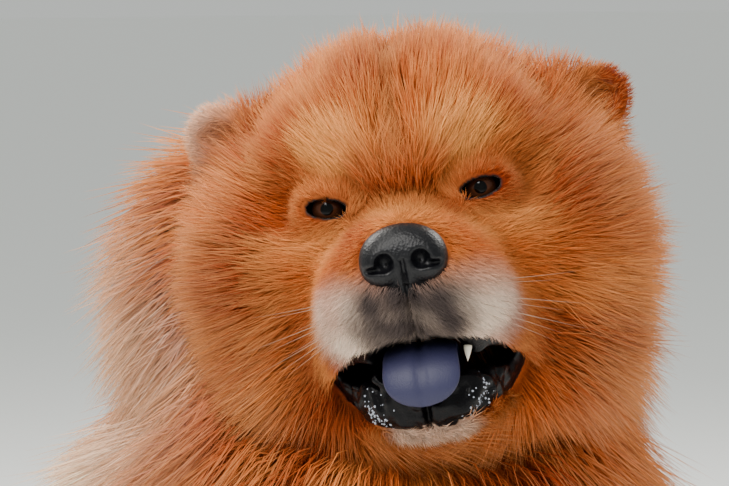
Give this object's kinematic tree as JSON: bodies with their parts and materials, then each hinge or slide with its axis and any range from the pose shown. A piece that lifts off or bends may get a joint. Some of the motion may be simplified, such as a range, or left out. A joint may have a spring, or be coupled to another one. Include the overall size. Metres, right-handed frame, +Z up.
{
  "type": "chow chow dog sitting",
  "caption": "Seated life-size chow chow with a dense rust-red coat, lion-like ruff, head turned and tipped, mouth a little open showing a blue-black tongue",
  "frame": {"origin": "on the floor below the middle of the overall box", "axes": "+Z up, chest faces -Y, the dog's own left side is +X"},
  "size_m": [0.4102, 0.5876, 0.6818],
  "materials": {
    "coat": "dense rust-red fur, paler at the tips",
    "eye": "wet gloss, dark brown",
    "leather": "moist pebbled black",
    "tongue": "moist blue-violet"
  },
  "bodies": {
    "root": {"head": "coat", "jaw": "coat", "ear_left": "coat", "ear_right": "coat", "eye_left": "eye", "eye_right": "eye", "nose": "leather", "tongue": "tongue", "ruff": "coat", "torso": "coat", "tail": "coat", "forepaw_left": "coat", "forepaw_right": "coat", "foreleg_left": "coat", "foreleg_right": "coat", "hindpaw_left": "coat", "hindpaw_right": "coat", "haunch_left": "coat", "haunch_right": "coat"}
  },
  "joints": []
}
